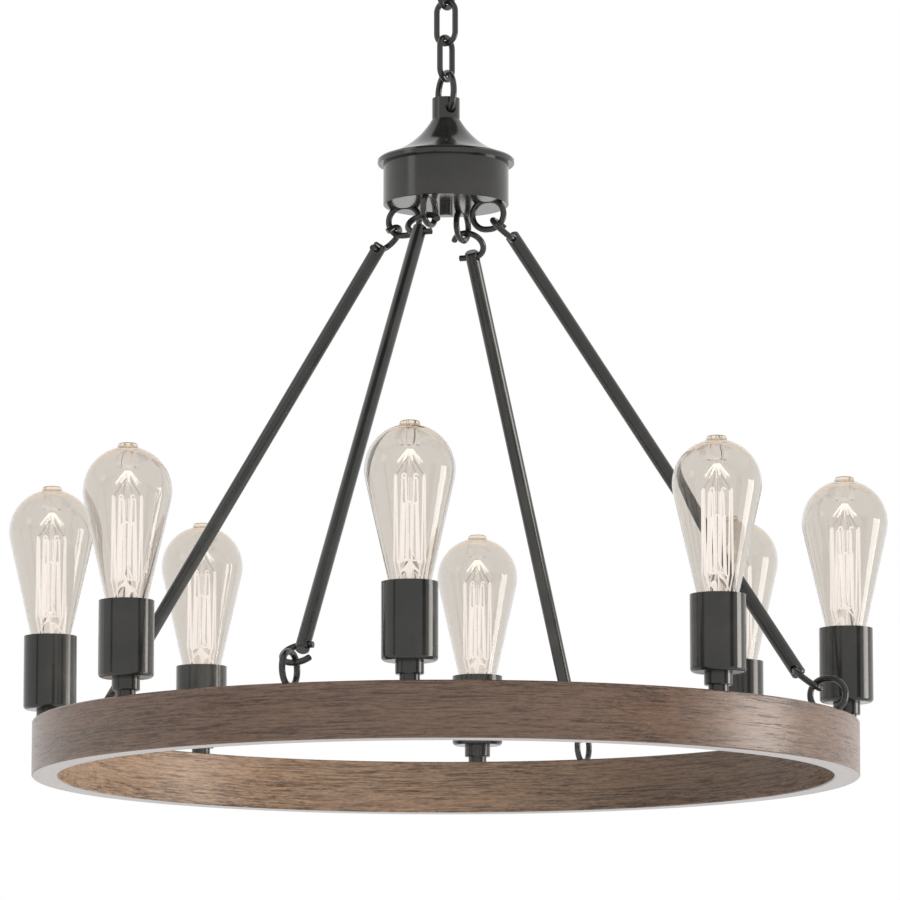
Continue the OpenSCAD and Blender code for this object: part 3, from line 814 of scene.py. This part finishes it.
def make_world(scene, stage):
    """Even daylight; the camera, gloss and glass see plain white."""
    world = bpy.data.worlds.new("daylight")
    scene.world = world
    world.use_nodes = True
    graph = Graph(world.node_tree)
    path = graph.add("ShaderNodeLightPath").outputs
    seen = graph.math("MAXIMUM", path["Is Camera Ray"], path["Is Glossy Ray"])
    seen = graph.math("MAXIMUM", seen, path["Is Transmission Ray"])
    level = graph.add("ShaderNodeMix", {0: seen, 2: stage.daylight, 3: 1.0})
    light = graph.add("ShaderNodeBackground", {"Color": (1, 1, 1, 1), "Strength": level.outputs[0]})
    graph.add("ShaderNodeOutputWorld", {"Surface": light.outputs[0]})


def square_corners(half, height):
    return [(-half, -half, height), (half, -half, height), (half, half, height), (-half, half, height)]


def make_floor(stage):
    """Plain pale floor under the hanging object, open when seen from below."""
    mesh = bpy.data.meshes.new("floor")
    mesh.from_pydata(square_corners(FLOOR_HALF, stage.floor_z), [], [(0, 1, 2, 3)])
    floor = add_object("floor", mesh)
    material = bpy.data.materials.new("pale_floor")
    material.use_nodes = True
    graph = Graph(material.node_tree)
    path = graph.add("ShaderNodeLightPath").outputs
    seen = graph.math("MAXIMUM", path["Is Glossy Ray"], path["Is Transmission Ray"])
    matt = graph.add("ShaderNodeBsdfDiffuse", {"Color": (0.93, 0.93, 0.93, 1)})
    white = graph.add("ShaderNodeEmission", {"Color": (1, 1, 1, 1), "Strength": 1.0})
    clear = graph.add("ShaderNodeBsdfTransparent")
    top = graph.add("ShaderNodeMixShader", {0: seen, 1: matt.outputs[0], 2: white.outputs[0]})
    back = graph.add("ShaderNodeNewGeometry").outputs["Backfacing"]
    both = graph.add("ShaderNodeMixShader", {0: back, 1: top.outputs[0], 2: clear.outputs[0]})
    graph.add("ShaderNodeOutputMaterial", {"Surface": both.outputs[0]})
    mesh.materials.append(material)


def towards(stage, side, distance, height):
    """A place at that distance from the object's axis, side degrees round from the camera."""
    angle = stage.turn - math.pi / 2 + math.radians(side)
    return Vector((distance * math.cos(angle), distance * math.sin(angle), height))


def soft_light(name, place, aim, width, height, power, tint=(1, 1, 1)):
    lamp = bpy.data.lights.new(name, "AREA")
    lamp.shape = "RECTANGLE"
    lamp.size = width
    lamp.size_y = height
    lamp.energy = power
    lamp.color = tint
    made = add_object(name, lamp)
    made.location = place
    made.rotation_euler = (aim - place).to_track_quat("-Z", "Y").to_euler()
    made.visible_camera = False
    made.visible_transmission = False
    return made


def make_lights(stage):
    middle = Vector((0, 0, -0.55))
    place = towards(stage, 90.0, 2.6, -0.85)
    warm = (1.0, 0.94, 0.87)
    soft_light("side_strip", place, Vector((0, 0, -0.85)), 1.05, 1.35, stage.key_power, warm)
    soft_light("left_patch", towards(stage, -66.0, 2.4, 0.38), middle, 0.60, 0.55, 1.3)
    inside = towards(stage, 52.0, 0.170, -0.668)
    across = towards(stage, -122.0, 0.4, -0.668)
    glow = soft_light("inner_light", inside, across, 0.10, 0.02, stage.inner_power, (1.0, 0.99, 0.91))
    glow.data.spread = math.radians(120)
    glow.visible_glossy = False


def make_card(name, corners):
    """A dark studio card that only the gloss sees."""
    mesh = bpy.data.meshes.new(name)
    mesh.from_pydata(corners, [], [(0, 1, 2, 3)])
    card = add_object(name, mesh)
    material = bpy.data.materials.new(name)
    material.use_nodes = True
    graph = Graph(material.node_tree)
    grey = (CARD_GREY, CARD_GREY, CARD_GREY, 1)
    paper = graph.add("ShaderNodeEmission", {"Color": grey, "Strength": 1.0})
    graph.add("ShaderNodeOutputMaterial", {"Surface": paper.outputs[0]})
    mesh.materials.append(material)
    card.visible_camera = False
    card.visible_diffuse = False
    card.visible_transmission = False
    card.visible_shadow = False


def make_camera(scene, stage):
    camera = bpy.data.cameras.new("photo_view")
    camera.sensor_width = 36.0
    camera.lens = stage.lens
    camera.clip_start = 0.1
    camera.clip_end = 60.0
    made = add_object("photo_view", camera)
    made.location = stage.camera
    made.rotation_euler = (math.pi / 2 + stage.tilt, 0, stage.turn)
    scene.camera = made


# ---- Panel and registration ----


class CHANDELIER_PT_panel(bpy.types.Panel):
    """Chandelier finish"""

    bl_idname = "CHANDELIER_PT_panel"
    bl_label = "Wagon wheel chandelier"
    bl_space_type = "VIEW_3D"
    bl_region_type = "UI"
    bl_category = "Chandelier"

    def draw(self, context):
        layout = self.layout
        for _, group_name in GROUPS:
            box = layout.box()
            group = getattr(context.scene, group_name)
            for key in group.bl_rna.properties.keys():
                if key not in ("rna_type", "name"):
                    box.prop(group, key)
        for operator in OPERATORS:
            layout.operator(operator.bl_idname)


GROUPS = (
    (MetalSettings, "chandelier_metal"),
    (WoodSettings, "chandelier_wood"),
    (BulbSettings, "chandelier_bulb"),
    (StageSettings, "chandelier_stage"),
)
OPERATORS = (
    CHANDELIER_OT_metal,
    CHANDELIER_OT_hardware,
    CHANDELIER_OT_rim,
    CHANDELIER_OT_bulbs,
    CHANDELIER_OT_bases,
    CHANDELIER_OT_stage,
)


def register():
    for group, name in GROUPS:
        bpy.utils.register_class(group)
        setattr(bpy.types.Scene, name, PointerProperty(type=group))
    for operator in OPERATORS:
        bpy.utils.register_class(operator)
    bpy.utils.register_class(CHANDELIER_PT_panel)


def unregister():
    bpy.utils.unregister_class(CHANDELIER_PT_panel)
    for operator in reversed(OPERATORS):
        bpy.utils.unregister_class(operator)
    for group, name in reversed(GROUPS):
        delattr(bpy.types.Scene, name)
        bpy.utils.unregister_class(group)


def main():
    register()
    bpy.ops.chandelier.metal()
    bpy.ops.chandelier.hardware()
    bpy.ops.chandelier.rim()
    bpy.ops.chandelier.bulbs()
    bpy.ops.chandelier.bases()
    bpy.ops.chandelier.stage()


if __name__ == "__main__":
    main()
